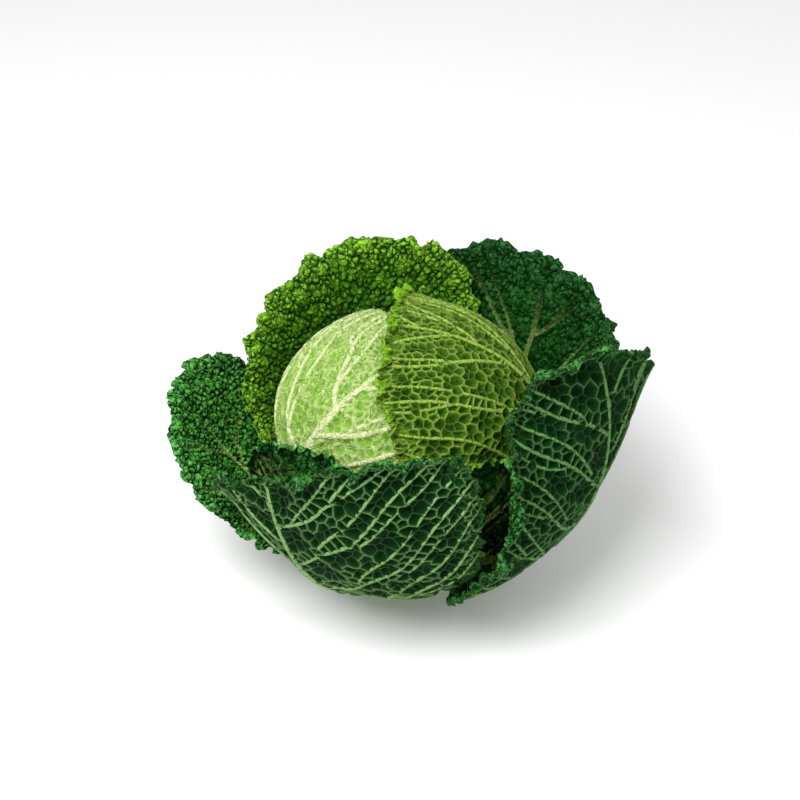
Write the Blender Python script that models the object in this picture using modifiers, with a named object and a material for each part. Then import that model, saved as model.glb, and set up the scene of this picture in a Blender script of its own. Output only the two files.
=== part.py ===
"""A savoy cabbage standing on its cut stem: a closed head in a whorl of opened, crinkled leaves.

Every leaf is laid out flat, with its seeds, ribs and frilled outline, and the net of veins between
its blisters is drawn on it. It is then laid round the centre of the head. Lengths here are
millimetres until a mesh is written. +Z is up, the viewer stands on the -Y side, and the origin is
the centre of the cut face of the stem.
"""

import math
import random
from dataclasses import dataclass

import bmesh
import bpy
import numpy as np
from mathutils import Vector, geometry

MM = 0.001

# Driving dimensions
HEAD_CENTRE = 124.0  # height of the middle of the head
STEM_RADIUS = 21.0
STEM_TOP = 56.0
LEAF_ROOT = 23.0  # how far from the axis a leaf leaves the stem
BLADE = 1.6  # thickness of a leaf between its ribs
VEIN = 0.5  # how much thicker it is along the net of veins
BLISTER = 2.0  # how far a blister stands up on the inner side of a leaf
HEART = (68.5, 49.0)  # level and upright half sizes of the packed heart
WIDEST = 0.56  # the share of a flat leaf's length at which it's widest

COLOURS = {
    "pale": (0.50, 0.68, 0.17, 1.0),
    "fresh": (0.14, 0.27, 0.02, 1.0),
    "bright": (0.07, 0.26, 0.01, 1.0),
    "deep": (0.012, 0.085, 0.02, 1.0),
    "stalk": (0.62, 0.70, 0.38, 1.0),
    "heart": (0.66, 0.74, 0.30, 1.0),
}


@dataclass(frozen=True)
class Leaf:
    """Where a leaf stands and how it is shaped. Angles are degrees, lengths millimetres."""

    azimuth: float  # of its midrib, round from +X
    wall: tuple  # from the head's centre to its inner face, level and straight down
    tip_rise: float  # of its tip, seen from the head's centre, past 90 when it lies over the top
    half_width: float
    colour: str
    cell: float = 16.0
    ribs: float = 40.0  # between the side ribs, along the midrib
    full: float = 0.46  # the share of its length at which it's nearly as wide as it gets
    skew: float = 0.0  # how far the blade's tip lies to the +side of the midrib
    slant: float = 0.0  # how much further the blade reaches on its +side than in the middle
    flare: float = 0.0  # how far its wall leans out at the top
    twist: float = 0.0  # how much more it leans out on its +side than in the middle
    flare_from: float = -25.0
    flare_to: float = 25.0
    curl: tuple = ((0.0, 0.0), (1.0, 0.0))  # (place round the outline, degrees rolled out)
    curl_band: float = 18.0
    ruffle: tuple = ((0.0, 0.0), (1.0, 0.0))  # (place round the outline, height of its waves)
    waves: int = 11
    lobes: float = 2.0  # how far the small lobes of its edge stand out
    rib: float = 6.5  # how thick the midrib is at its root
    seed: int = 1


FREE_EDGE = ((0, 0), (0.12, 0), (0.25, 8), (0.75, 8), (0.88, 0), (1, 0))
TOP_EDGE = ((0, 0), (0.3, 0), (0.4, 7), (0.6, 7), (0.7, 0), (1, 0))
LEFT_EDGE = ((0, 0), (0.12, 0), (0.25, 7), (0.52, 7), (0.64, 0), (1, 0))
RIGHT_EDGE = ((0, 0), (0.12, 0), (0.25, 4), (0.75, 4), (0.88, 0), (1, 0))
HEAD_EDGE = ((0, 0), (0.12, 0), (0.3, 2.5), (0.7, 2.5), (0.88, 0), (1, 0))
ROLLED_EDGE = ((0, 0), (0.16, 0), (0.26, 75), (0.42, 80), (0.52, 0), (1, 0))

LEAVES = {
    "head_leaf_back": Leaf(100, (71.6, 51.6), 104, 96, "pale", cell=21, ribs=52, rib=3, seed=3,
                           lobes=0),
    "head_leaf_left": Leaf(215, (76.0, 56.2), 95, 110, "pale", cell=19, ribs=46, rib=3, seed=5,
                           lobes=0),
    "head_leaf_right": Leaf(-8, (80.4, 61.0), 98, 107, "fresh", cell=19, ribs=46, rib=4, seed=8,
                            curl=((0, 0), (0.2, 30), (0.8, 30), (1, 0)), curl_band=8,
                            ruffle=HEAD_EDGE, waves=19),
    "inner_leaf_front_right": Leaf(284, (87.5, 78.0), 17, 64, "bright", full=0.36, flare=7, seed=13,
                                   ruffle=HEAD_EDGE, waves=13),
    "inner_leaf_front_left": Leaf(240, (93.5, 84.5), 19, 60, "deep", flare=7, seed=21,
                                  ruffle=HEAD_EDGE, waves=13),
    "inner_leaf_back_left": Leaf(112, (97.0, 89.0), 25, 82, "bright", skew=-4, slant=-13,
                                 flare=25, seed=34, ruffle=FREE_EDGE, waves=15),
    "outer_leaf_front": Leaf(235, (106.0, 110.0), 20, 92, "deep", skew=34, slant=24, flare=16,
                             twist=-10, seed=55, flare_from=-60, ruffle=LEFT_EDGE, waves=15),
    "outer_leaf_back_right": Leaf(47, (109.5, 103.0), 19.5, 95, "deep", slant=4, flare=37, seed=89,
                                  ruffle=TOP_EDGE, waves=15),
    "outer_leaf_right": Leaf(-24, (117.0, 110.5), 31, 80, "deep", full=0.38, skew=10, slant=-46,
                             flare=17, twist=34, seed=144, flare_from=-40, curl=ROLLED_EDGE, curl_band=16,
                             ruffle=RIGHT_EDGE, waves=15),
    "outer_leaf_left": Leaf(165, (122.0, 113.0), -1, 57, "deep", skew=-10, flare=26, seed=233,
                            flare_from=-50, flare_to=5, ruffle=FREE_EDGE, waves=12),
    "outer_leaf_back": Leaf(106, (116.0, 109.0), 11, 78, "deep", flare=34, seed=377,
                            ruffle=TOP_EDGE, waves=14),
}


def ease(value):
    value = np.clip(value, 0.0, 1.0)
    return value * value * (3.0 - 2.0 * value)


def root_rise(leaf):
    """The angle below the level of the head's centre at which the leaf leaves the stem."""
    return -90.0 + math.degrees(math.atan2(LEAF_ROOT, leaf.wall[1]))


def length(leaf):
    return math.radians(leaf.tip_rise - root_rise(leaf)) * leaf.wall[0]


def half_width_at(leaf, along):
    """Half the width of the flat blade, a broad stalk that opens to a round blade."""
    petiole = 12.0
    grown = petiole + (leaf.half_width - petiole) * ease(along / leaf.full)
    past = np.clip((along - WIDEST) / (1.0 - WIDEST), 0.0, 1.0)
    return grown * np.sqrt(1.0 - past**2.8)


def outline(leaf, step):
    """Points round the blade, from its root up the -side, round the tip and down the +side."""
    run = length(leaf)
    along = np.concatenate([np.linspace(0, 0.8, 160), 0.8 + 0.2 * np.sin(np.linspace(0, np.pi / 2, 90))])
    half, middle = half_width_at(leaf, along), leaf.skew * along**1.5
    sides = []
    for way in (-1, 1):
        rim = along * run + way * leaf.slant * half / leaf.half_width * along**2
        sides.append(np.stack([middle + way * half, rim], axis=1))
    points = np.concatenate([sides[0], sides[1][::-1]])
    places = np.concatenate([[0], np.cumsum(np.hypot(*np.diff(points, axis=0).T))])
    wanted = np.linspace(0, places[-1], max(12, round(places[-1] / step)))
    points = np.stack([np.interp(wanted, places, points[:, i]) for i in (0, 1)], axis=1)
    return points, wanted / places[-1]


def scalloped(leaf, step):
    """The outline with the small lobes of its edge."""
    points, place = outline(leaf, step)
    ahead = np.roll(points, -1, axis=0) - np.roll(points, 1, axis=0)
    outward = np.stack([-ahead[:, 1], ahead[:, 0]], axis=1) / np.hypot(*ahead.T)[:, None]
    phase = leaf.seed + 2 * math.pi * place * leaf.waves
    lobe = np.sin(1.7 * phase + 1.1 * np.sin(0.6 * phase))
    free = ease((place - 0.1) / 0.1) * ease((0.9 - place) / 0.1)
    return points + outward * (leaf.lobes * lobe * free)[:, None]


def inside(edge, x, y):
    """Whether a point lies within the outline."""
    after = np.roll(edge, -1, axis=0)
    crosses = (edge[:, 1] > y) != (after[:, 1] > y)
    rise = np.where(crosses, after[:, 1] - edge[:, 1], 1.0)
    at = edge[:, 0] + (y - edge[:, 1]) / rise * (after[:, 0] - edge[:, 0])
    return np.count_nonzero(crosses & (x < at)) % 2 == 1


def ribs_of(leaf):
    """Where the side ribs leave the midrib."""
    return np.arange(0.6 * leaf.ribs, 0.86 * length(leaf), leaf.ribs)


def side_rib(root, across):
    """How far along the leaf a side rib is when it is this far from the midrib."""
    return root + 0.62 * across + 0.0022 * across**2


def seeds(leaf, edge):
    """The middles of the blisters: in pairs along the ribs, and scattered between them."""
    draw = random.Random(leaf.seed)
    run, cell = length(leaf), leaf.cell
    top = run + abs(leaf.slant)
    reach = leaf.half_width + abs(leaf.skew)
    found = []

    def add(x, y, apart=0.74):
        if not inside(edge, x, y) or np.hypot(edge[:, 0] - x, edge[:, 1] - y).min() < 0.5 * cell:
            return
        if all(math.hypot(x - a, y - b) > apart * cell for a, b in found):
            found.append((x, y))

    for y in np.arange(0.5 * cell, top, 0.9 * cell):
        shifted = y + draw.uniform(-0.1, 0.1) * cell
        for side in (-1, 1):
            add(side * 0.46 * cell, shifted)
    for root in ribs_of(leaf):
        for side in (-1, 1):
            start = root + side * 0.12 * leaf.ribs
            for across in np.arange(1.1 * cell, reach, 0.86 * cell):
                slope = 0.62 + 0.0044 * across
                size = math.hypot(1, slope)
                for off in (-0.47 * cell, 0.47 * cell):
                    add(side * (across - off * slope / size), side_rib(start, across) + off / size)
    row = 0
    for y in np.arange(0.4 * cell, top, 0.8 * cell):
        row += 1
        for x in np.arange(-reach, reach, 0.95 * cell):
            add(x + 0.5 * cell * (row % 2) + draw.uniform(-0.2, 0.2) * cell,
                y + draw.uniform(-0.2, 0.2) * cell)
    return np.array(found)


def flat_net(leaf):
    """A flat sheet of triangles: a fan round each blister's middle, so its edges are the veins."""
    edge = scalloped(leaf, 0.46 * leaf.cell)
    middles = seeds(leaf, edge)
    points = [Vector(p) for p in np.concatenate([edge, middles])]
    ring = [(i, (i + 1) % len(edge)) for i in range(len(edge))]
    made = geometry.delaunay_2d_cdt(points, ring, [], 1, 1e-3)
    mesh = bmesh.new()
    verts = [mesh.verts.new((p.x, p.y, 0)) for p in made[0]]
    for face in made[2]:
        mesh.faces.new([verts[i] for i in face])
    bmesh.ops.recalc_face_normals(mesh, faces=mesh.faces)
    if sum(face.normal.z for face in mesh.faces) < 0:
        bmesh.ops.reverse_faces(mesh, faces=mesh.faces)
    mark = mesh.verts.layers.float.new("blister")
    for vert in mesh.verts:
        vert[mark] = 0.0 if vert.is_boundary else 1.0
    spokes = [e for e in mesh.edges if not e.is_boundary]
    junctions = bmesh.ops.poke(mesh, faces=mesh.faces)["verts"]
    for vert in junctions:
        vert[mark] = 0.0
    bmesh.ops.rotate_edges(mesh, edges=spokes, use_ccw=False)
    return mesh


def to_edge(points, edge):
    """Each point's distance to the outline, the way to it, and the place reached on it."""
    gap = edge[None] - points[:, None]
    far = np.hypot(gap[..., 0], gap[..., 1])
    nearest = far.argmin(axis=1)
    rows = np.arange(len(points))
    return far[rows, nearest], gap[rows, nearest], nearest / (len(edge) - 1)


def wall(leaf, flat):
    """The leaf's inner face, before its edge is rolled or waved: points round the head's centre."""
    run = length(leaf)
    turn = math.radians(leaf.azimuth)
    middle = math.radians((root_rise(leaf) + leaf.tip_rise) / 2)
    outward = np.array([math.cos(turn), math.sin(turn), 0])
    across = np.array([-math.sin(turn), math.cos(turn), 0])
    upward = np.array([0, 0, 1])
    centre = math.cos(middle) * outward + math.sin(middle) * upward
    climb = -math.sin(middle) * outward + math.cos(middle) * upward
    x, y = flat[:, 0], flat[:, 1] - run / 2
    size = np.maximum(np.hypot(x, y), 1e-6)
    angle = size / leaf.wall[0]
    way = (np.cos(angle)[:, None] * centre
           + (np.sin(angle) * x / size)[:, None] * across
           + (np.sin(angle) * y / size)[:, None] * climb)
    rise = np.arcsin(np.clip(way[:, 2], -1, 1))
    reach = 1 / np.hypot(np.cos(rise) / leaf.wall[0], np.sin(rise) / leaf.wall[1])
    lean = (np.degrees(rise) - leaf.flare_from) / (leaf.flare_to - leaf.flare_from)
    lean = np.clip(lean, 0, 1.4) ** 2
    reach = reach + (leaf.flare + leaf.twist * flat[:, 0] / leaf.half_width) * lean
    return way * reach[:, None] + (0, 0, HEAD_CENTRE)


def shaped(leaf, flat, blister):
    """The leaf's inner face, with its rolled edge, its waves and its blisters."""
    step = 0.05
    here = wall(leaf, flat)
    along_x = (wall(leaf, flat + (step, 0)) - here) / step
    along_y = (wall(leaf, flat + (0, step)) - here) / step
    outward = np.cross(along_x, along_y)
    outward /= np.linalg.norm(outward, axis=1)[:, None]
    edge, _ = outline(leaf, 1.5)
    far, way, place = to_edge(flat, edge)
    way = way / np.maximum(far, 1e-6)[:, None]
    to_rim = way[:, :1] * along_x + way[:, 1:] * along_y
    to_rim /= np.maximum(np.linalg.norm(to_rim, axis=1), 1e-6)[:, None]
    rolled = np.clip(leaf.curl_band - far, 0, None)
    bend = np.maximum(np.radians(np.interp(place, *zip(*leaf.curl))) / leaf.curl_band, 1e-5)
    turn = rolled * bend
    radius = 1 / bend
    lift = (radius * (1 - np.cos(turn)))[:, None]
    back = (rolled - radius * np.sin(turn))[:, None]
    curled = here + outward * lift - to_rim * back
    facing = outward * np.cos(turn)[:, None] - to_rim * np.sin(turn)[:, None]
    height = np.interp(place, *zip(*leaf.ruffle))
    phase = leaf.seed + 2 * math.pi * place * leaf.waves
    wave = np.sin(phase + 1.3 * np.sin(0.37 * phase)) * 0.5 + 0.5
    waved = height * wave * np.clip(1 - far / 22, 0, 1) ** 1.5
    raised = BLISTER * blister * ease(far / 14) * ease((flat[:, 1] - 12) / 30)
    return curled + facing * (waved - raised)[:, None]


def thickness(leaf, flat, blister):
    """How thick the leaf is: thin between the ribs, and thick along the midrib to its root."""
    along = flat[:, 1] / length(leaf)
    broad = 2.5 + 9.0 * (1 - ease(along / 0.75))
    ridge = (leaf.rib - BLADE) * (1 - ease(along / 0.85))
    return BLADE + VEIN * (1 - blister) + ridge * np.exp(-((flat[:, 0] / broad) ** 2))


def material(name, colour, roughness=0.45):
    made = bpy.data.materials.new(name)
    made.use_nodes = True
    shader = made.node_tree.nodes["Principled BSDF"]
    shader.inputs["Base Color"].default_value = colour
    shader.inputs["Roughness"].default_value = roughness
    shader.inputs["Metallic"].default_value = 0.0
    return made


def add_object(name, mesh, collection, look):
    data = bpy.data.meshes.new(name)
    mesh.to_mesh(data)
    mesh.free()
    data.materials.append(look)
    made = bpy.data.objects.new(name, data)
    collection.objects.link(made)
    return made


def add_leaf(name, leaf, collection, looks):
    mesh = flat_net(leaf)
    mark = mesh.verts.layers.float["blister"]
    flat = np.array([v.co.xy for v in mesh.verts])
    blister = np.array([v[mark] for v in mesh.verts])
    thick = thickness(leaf, flat, blister)
    for vert, place in zip(mesh.verts, shaped(leaf, flat, blister)):
        vert.co = Vector(place) * MM
    made = add_object(name, mesh, collection, looks[leaf.colour])
    group = made.vertex_groups.new(name="thickness")
    most = float(thick.max())
    for index, value in enumerate(thick):
        group.add([index], float(value) / most, "REPLACE")
    solid = made.modifiers.new("Solidify", "SOLIDIFY")
    solid.thickness = most * MM
    solid.offset = 1.0
    solid.vertex_group = group.name
    solid.thickness_vertex_group = 0.0
    return made


def add_heart(collection, looks):
    """The packed young leaves as one body, with the folds of their edges wound over it."""
    mesh = bmesh.new()
    bmesh.ops.create_uvsphere(mesh, u_segments=30, v_segments=14, radius=1.0)
    for vert in mesh.verts:
        rise = math.asin(max(-1.0, min(1.0, vert.co.z)))
        turn = math.atan2(vert.co.y, vert.co.x)
        fold = (3 * turn + 1.8 * rise) / (2 * math.pi) % 1.0
        reach = 1.0 - 0.03 * fold * math.cos(rise)
        vert.co = Vector((vert.co.x * HEART[0], vert.co.y * HEART[0], vert.co.z * HEART[1])) * reach
        vert.co.z += HEAD_CENTRE
    bmesh.ops.scale(mesh, vec=(MM, MM, MM), verts=mesh.verts)
    bmesh.ops.triangulate(mesh, faces=mesh.faces)
    return add_object("heart", mesh, collection, looks["heart"])


def add_stem(collection, looks):
    """The stalk, cut flat below and a little waisted where the leaves leave it."""
    profile = [(0, STEM_TOP), (STEM_RADIUS - 6, STEM_TOP - 1), (STEM_RADIUS - 3, STEM_TOP - 8),
               (STEM_RADIUS - 1, 30), (STEM_RADIUS, 14), (STEM_RADIUS, 1.2),
               (STEM_RADIUS - 1.2, 0), (0, 0)]
    mesh = bmesh.new()
    verts = [mesh.verts.new((x * MM, 0, z * MM)) for x, z in profile]
    for a, b in zip(verts, verts[1:]):
        mesh.edges.new((a, b))
    made = add_object("stem", mesh, collection, looks["stalk"])
    turned = made.modifiers.new("Screw", "SCREW")
    turned.steps = turned.render_steps = 28
    turned.use_merge_vertices = True
    turned.merge_threshold = 0.0001
    return made


def main():
    for old in list(bpy.data.objects):
        bpy.data.objects.remove(old)
    collection = bpy.data.collections.new("savoy_cabbage")
    bpy.context.scene.collection.children.link(collection)
    looks = {name: material(name, colour) for name, colour in COLOURS.items()}
    add_stem(collection, looks)
    add_heart(collection, looks)
    for name, leaf in LEAVES.items():
        add_leaf(name, leaf, collection, looks)


main()
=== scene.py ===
"""A savoy cabbage: a closed pale head in a whorl of opened, crinkled leaves, on its cut stem.

Lengths are millimetres until a mesh is written. +Z is up, and the viewer stands on the -Y side.
"""

import math
import random
from dataclasses import dataclass, replace

import bmesh
import bpy
import numpy as np
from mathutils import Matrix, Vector, geometry, kdtree
from mathutils.noise import noise_vector, seed_set


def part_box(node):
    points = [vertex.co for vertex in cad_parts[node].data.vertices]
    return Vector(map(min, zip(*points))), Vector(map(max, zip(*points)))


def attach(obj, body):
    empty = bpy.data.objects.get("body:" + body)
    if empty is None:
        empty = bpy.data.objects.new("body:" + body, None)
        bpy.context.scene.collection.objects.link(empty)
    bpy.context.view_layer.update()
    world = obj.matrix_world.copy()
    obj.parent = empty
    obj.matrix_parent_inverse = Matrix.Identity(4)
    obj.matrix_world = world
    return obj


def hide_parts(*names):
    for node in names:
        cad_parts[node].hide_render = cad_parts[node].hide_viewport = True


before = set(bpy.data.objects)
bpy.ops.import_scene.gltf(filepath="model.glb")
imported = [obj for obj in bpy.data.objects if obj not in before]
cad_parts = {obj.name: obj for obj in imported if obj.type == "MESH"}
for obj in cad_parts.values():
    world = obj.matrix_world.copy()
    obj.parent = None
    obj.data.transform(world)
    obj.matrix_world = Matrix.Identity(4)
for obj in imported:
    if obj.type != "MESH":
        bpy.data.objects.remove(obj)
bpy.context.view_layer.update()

# The heart: the young leaves packed into a ball and wound over each other, so that only the edges
# of their folds show. It is pale, because no light reaches it, and it grows on top of the stem.

MM = 0.001
FOLDS = 3
FOLD_STEP = 0.03  # how far the edge of a fold stands out, as a share of the heart's radius
FOLD_WINDING = 1.8  # how far the edges of the folds wind round as they climb
BALL_SEGMENTS = 120

heart_low, heart_high = np.array(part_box("heart"))
heart_middle, heart_half = (heart_low + heart_high) / 2, (heart_high - heart_low) / 2


class Socket:
    """A socket in a material's node tree, with the operators that its masks are summed with."""

    def __init__(self, tree, out):
        self.tree, self.out = tree, out

    def node(self, kind, settings, values, output=0):
        made = self.tree.nodes.new(kind)
        for name, value in settings.items():
            setattr(made, name, value)
        for key, value in values.items():
            if isinstance(value, Socket):
                self.tree.links.new(value.out, made.inputs[key])
            else:
                made.inputs[key].default_value = value
        return Socket(self.tree, made.outputs[output])

    def maths(self, operation, *values):
        return self.node("ShaderNodeMath", {"operation": operation}, dict(enumerate(values)))

    def __add__(self, other):
        return self.maths("ADD", self, other)

    def __sub__(self, other):
        return self.maths("SUBTRACT", self, other)

    def __rsub__(self, other):
        return self.maths("SUBTRACT", other, self)

    def __mul__(self, other):
        return self.maths("MULTIPLY", self, other)

    __radd__ = __add__
    __rmul__ = __mul__

    def between(self, low, high):
        """0 below low, 1 above high, and smooth from one to the other."""
        ends = {"Value": self, "From Min": low, "From Max": high}
        return self.node("ShaderNodeMapRange", {"interpolation_type": "SMOOTHSTEP"}, ends)

    def mix(self, low, high):
        """The first colour where the mask is 0, the second where it is 1."""
        return self.node("ShaderNodeMix", {"data_type": "RGBA"}, {0: self, 6: low, 7: high}, 2)


def new_material(name, roughness, glow):
    """A material with its shader, and the socket of its Object coordinates to start from."""
    made = bpy.data.materials.new(name)
    made.use_nodes = True
    tree = made.node_tree
    shader = tree.nodes["Principled BSDF"]
    shader.inputs["Roughness"].default_value = roughness
    shader.inputs["Specular IOR Level"].default_value = 0.3
    shader.inputs["Subsurface Weight"].default_value = glow
    shader.inputs["Subsurface Radius"].default_value = (0.4, 1.0, 0.15)
    shader.inputs["Subsurface Scale"].default_value = 0.003
    place = Socket(tree, tree.nodes.new("ShaderNodeTexCoord").outputs["Object"])
    return made, shader, place


def feed(shader, name, socket):
    socket.tree.links.new(socket.out, shader.inputs[name])


def noise(place, scale, detail=2.0, twisted=0.0):
    values = {"Vector": place, "Scale": scale, "Detail": detail, "Distortion": twisted}
    return place.node("ShaderNodeTexNoise", {}, values)


def bump(height, strength, depth):
    values = {"Height": height, "Strength": strength, "Distance": depth}
    return height.node("ShaderNodeBump", {}, values)


def finish_piece(made, node):
    """Puts the piece in the plain node's place and on the body that it rides."""
    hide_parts(node)
    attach(made, "root")


def write_object(name, mesh, materials):
    data = bpy.data.meshes.new(name)
    mesh.to_mesh(data)
    mesh.free()
    for look in materials:
        data.materials.append(look)
    data.shade_smooth()
    made = bpy.data.objects.new(name, data)
    bpy.context.scene.collection.objects.link(made)
    return made


def heart_material():
    made, shader, place = new_material("heart_leaf", 0.4, 0.2)
    cloud = noise(place, 30.0).between(0.35, 0.7)
    feed(shader, "Base Color", cloud.mix((0.62, 0.76, 0.27, 1), (0.78, 0.86, 0.47, 1)))
    feed(shader, "Normal", bump(noise(place, 220.0, 4.0), 0.3, 0.001))
    return made


ball = bmesh.new()
bmesh.ops.create_uvsphere(ball, u_segments=BALL_SEGMENTS, v_segments=BALL_SEGMENTS // 2,
                          radius=1.0)
for vert in ball.verts:
    rise = math.asin(max(-1.0, min(1.0, vert.co.z)))
    turn = math.atan2(vert.co.y, vert.co.x)
    fold = (FOLDS * turn + FOLD_WINDING * rise) / (2 * math.pi) % 1.0
    reach = 1.0 - FOLD_STEP * fold * math.cos(rise)
    vert.co = Vector(heart_middle) + Vector(np.array(vert.co) * heart_half) * reach
heart = write_object("packed_heart", ball, [heart_material()])
finish_piece(heart, "heart")

# The stem: a thick woody stalk, cut off flat below, where its pale pith and greener rind show.
# Every leaf grows out of its side, so it swells where they leave it, and the heart sits on its top.

stem_high = np.array(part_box("stem"))[1]
STEM_RADIUS = stem_high[0] / MM
STEM_TOP = stem_high[2] / MM
COLLAR = 3.2  # how far it swells where the leaves leave it
PITH_END = (-7.0, -4.5)  # where the pith ends, out from the side
RIND_START = (-2.4, -1.4)  # where the rind begins
STEM_SIDES = 72


def stem_material():
    made, shader, place = new_material("stalk", 0.55, 0.1)
    flat = place.node("ShaderNodeVectorMath", {"operation": "MULTIPLY"}, {0: place, 1: (1, 1, 0)})
    radius = flat.node("ShaderNodeVectorMath", {"operation": "LENGTH"}, {0: flat}, 1) * (1 / MM)
    drawn_out = place.node("ShaderNodeMapping", {}, {"Vector": place, "Scale": (1, 1, 0.15)})
    grain = noise(drawn_out, 260.0, 3.0)
    core = (radius + 2 * grain).between(*(STEM_RADIUS + far for far in PITH_END))
    rind = (radius + grain).between(*(STEM_RADIUS + far for far in RIND_START))
    face = core.mix((0.80, 0.82, 0.62, 1), (0.58, 0.68, 0.36, 1))
    side = grain.between(0.3, 0.7).mix((0.36, 0.46, 0.20, 1), (0.62, 0.68, 0.42, 1))
    feed(shader, "Base Color", rind.mix(face, side))
    feed(shader, "Normal", bump(grain, 0.5, 0.0008))
    return made


stalk = bmesh.new()
profile = [
    (0, 0), (STEM_RADIUS - 1.6, 0), (STEM_RADIUS - 0.6, 0.3), (STEM_RADIUS, 1.4), (STEM_RADIUS, 4),
    (STEM_RADIUS + 0.6 * COLLAR, 9), (STEM_RADIUS + COLLAR, 15), (STEM_RADIUS + COLLAR, 24),
    (STEM_RADIUS + 0.5 * COLLAR, 32), (STEM_RADIUS - 1, 38), (STEM_RADIUS - 3, STEM_TOP - 8),
    (STEM_RADIUS - 6, STEM_TOP - 1), (0, STEM_TOP),
]
line = [stalk.verts.new((x * MM, 0, z * MM)) for x, z in profile]
sides = [stalk.edges.new(pair) for pair in zip(line, line[1:])]
bmesh.ops.spin(stalk, geom=line + sides, cent=(0, 0, 0), axis=(0, 0, 1), dvec=(0, 0, 0),
               angle=math.tau, steps=STEM_SIDES, use_merge=True)
bmesh.ops.remove_doubles(stalk, verts=stalk.verts, dist=1e-6)
bmesh.ops.recalc_face_normals(stalk, faces=stalk.faces)
stem = write_object("cut_stem", stalk, [stem_material()])
stem.data.set_sharp_from_angle(angle=math.radians(50))
finish_piece(stem, "stem")

# The head leaves: three leaves wrapped over the heart, so that their outer faces show, with the
# ribs standing proud and the blisters between them hollow. Each is thin leaf tissue on pale ribs,
# it overlaps the one below, and its free edge is frilled. All leaves grow from the stem.

HEAD_CENTRE = heart_middle[2] / MM
LEAF_ROOT = 23.0  # how far from the axis a leaf leaves the stem
PETIOLE = 12.0  # half the width of its stalk there
BLADE = 0.8  # how thick the leaf is between its ribs
WIDEST = 0.56  # the share of a flat leaf's length at which it's widest
BLUNTNESS = 2.8  # of the blade past that, where an ellipse has 2

# Round a leaf's edge, from its root up the -side, over the tip and down the +side: how high the
# edge is waved, and in the last four how many degrees it is rolled out.
FREE_EDGE = ((0, 0), (0.12, 0), (0.25, 3.5), (0.75, 3.5), (0.88, 0), (1, 0))
TOP_EDGE = ((0, 0), (0.2, 0), (0.3, 3.5), (0.7, 3.5), (0.8, 0), (1, 0))
LEFT_EDGE = ((0, 0), (0.12, 0), (0.25, 7), (0.52, 7), (0.64, 0), (1, 0))
RIGHT_EDGE = ((0, 0), (0.12, 0), (0.25, 4), (0.75, 4), (0.88, 0), (1, 0))
HEAD_EDGE = ((0, 0), (0.12, 0), (0.3, 2.5), (0.7, 2.5), (0.88, 0), (1, 0))
SEAM = ((0, 0), (0.12, 0), (0.3, 4.5), (0.5, 5), (0.64, 6), (0.75, 3), (0.88, 0), (1, 0))
SEAM_CURL = ((0, 0), (0.2, 60), (0.3, 105), (0.64, 105), (0.8, 50), (1, 0))
TURNED = ((0, 0), (0.14, 0), (0.26, 75), (0.74, 75), (0.86, 0), (1, 0))
TURNED_TOP = ((0, 0), (0.22, 20), (0.34, 90), (0.62, 110), (0.72, 0), (1, 0))
ROLLED_EDGE = ((0, 0), (0.2, 40), (0.26, 110), (0.32, 150), (0.37, 100), (0.43, 120), (0.48, 150),
               (0.6, 40), (1, 0))


@dataclass(frozen=True)
class Leaf:
    """Where a leaf stands and how it is shaped. Angles are degrees, lengths millimetres."""

    azimuth: float  # of its midrib, round from +X
    wall: tuple  # from the head's centre to its inner face, level and straight down
    tip_rise: float  # of its tip, seen from the head's centre, past 90 when it lies over the top
    half_width: float
    cell: float = 3.2  # across one blister
    rim_cell: float = 2.9  # across one at the edge
    group: float = 11.0  # across a group of blisters
    netted: bool = False  # whether its back shows, so that each vein gets a ridge of its own
    stretch: float = 1.3  # how much longer than wide the blisters are
    ribs: float = 22.0  # between the side ribs, along the midrib
    rib_width: float = 1.0  # of all its ribs, against the usual
    fan: float = 0.5  # how much more steeply the side ribs near the tip climb
    bow: float = 0.0  # how far to its +side the midrib bends
    full: float = 0.46  # the share of its length at which it's nearly as wide as it gets
    skew: float = 0.0  # how far the blade's tip lies to the +side of the stem
    slant: float = 0.0  # how much further the blade reaches on its +side than in the middle
    flare: float = 0.0  # how far its wall leans out at the top
    twist: float = 0.0  # how much more it leans out on its +side than in the middle
    flare_from: float = -25.0
    flare_to: float = 25.0
    curl: tuple = ((0.0, 0.0), (1.0, 0.0))  # (place round the outline, degrees rolled out)
    curl_radius: float = 6.0
    ruffle: tuple = ((0.0, 0.0), (1.0, 0.0))  # (place round the outline, height of its waves)
    waves: int = 11
    frill: float = 2.2  # height of the small waves of its edge
    frill_length: float = 8.0
    lobes: float = 2.0  # how far the lobes of its edge stand out
    relief: float = 1.3  # how far a blister stands up on the inner side
    bulge: float = 2.0  # how far a group of blisters does
    rib: float = 6.5  # how thick the midrib is at its root
    seed: int = 1


def ease(value):
    value = np.clip(value, 0.0, 1.0)
    return value * value * (3.0 - 2.0 * value)


def root_rise(leaf):
    """The angle below the level of the head's centre at which the leaf leaves the stem."""
    return -90.0 + math.degrees(math.atan2(LEAF_ROOT, leaf.wall[1]))


def length(leaf):
    return math.radians(leaf.tip_rise - root_rise(leaf)) * leaf.wall[0]


def half_width_at(leaf, along):
    """Half the width of the flat blade, a broad stalk that opens to a round blade."""
    grown = PETIOLE + (leaf.half_width - PETIOLE) * ease(along / leaf.full)
    past = np.clip((along - WIDEST) / (1.0 - WIDEST), 0.0, 1.0)
    return grown * np.sqrt(1.0 - past**BLUNTNESS)


def wave_phase(leaf, place):
    return leaf.seed + 2 * math.pi * place * leaf.waves


def turned(leaf, place):
    """How far the edge is rolled out there, in radians."""
    phase = wave_phase(leaf, place)
    uneven = 0.8 + 0.2 * np.sin(0.8 * phase + 2 * np.sin(0.45 * phase))
    return np.radians(np.interp(place, *zip(*leaf.curl))) * uneven


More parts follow.
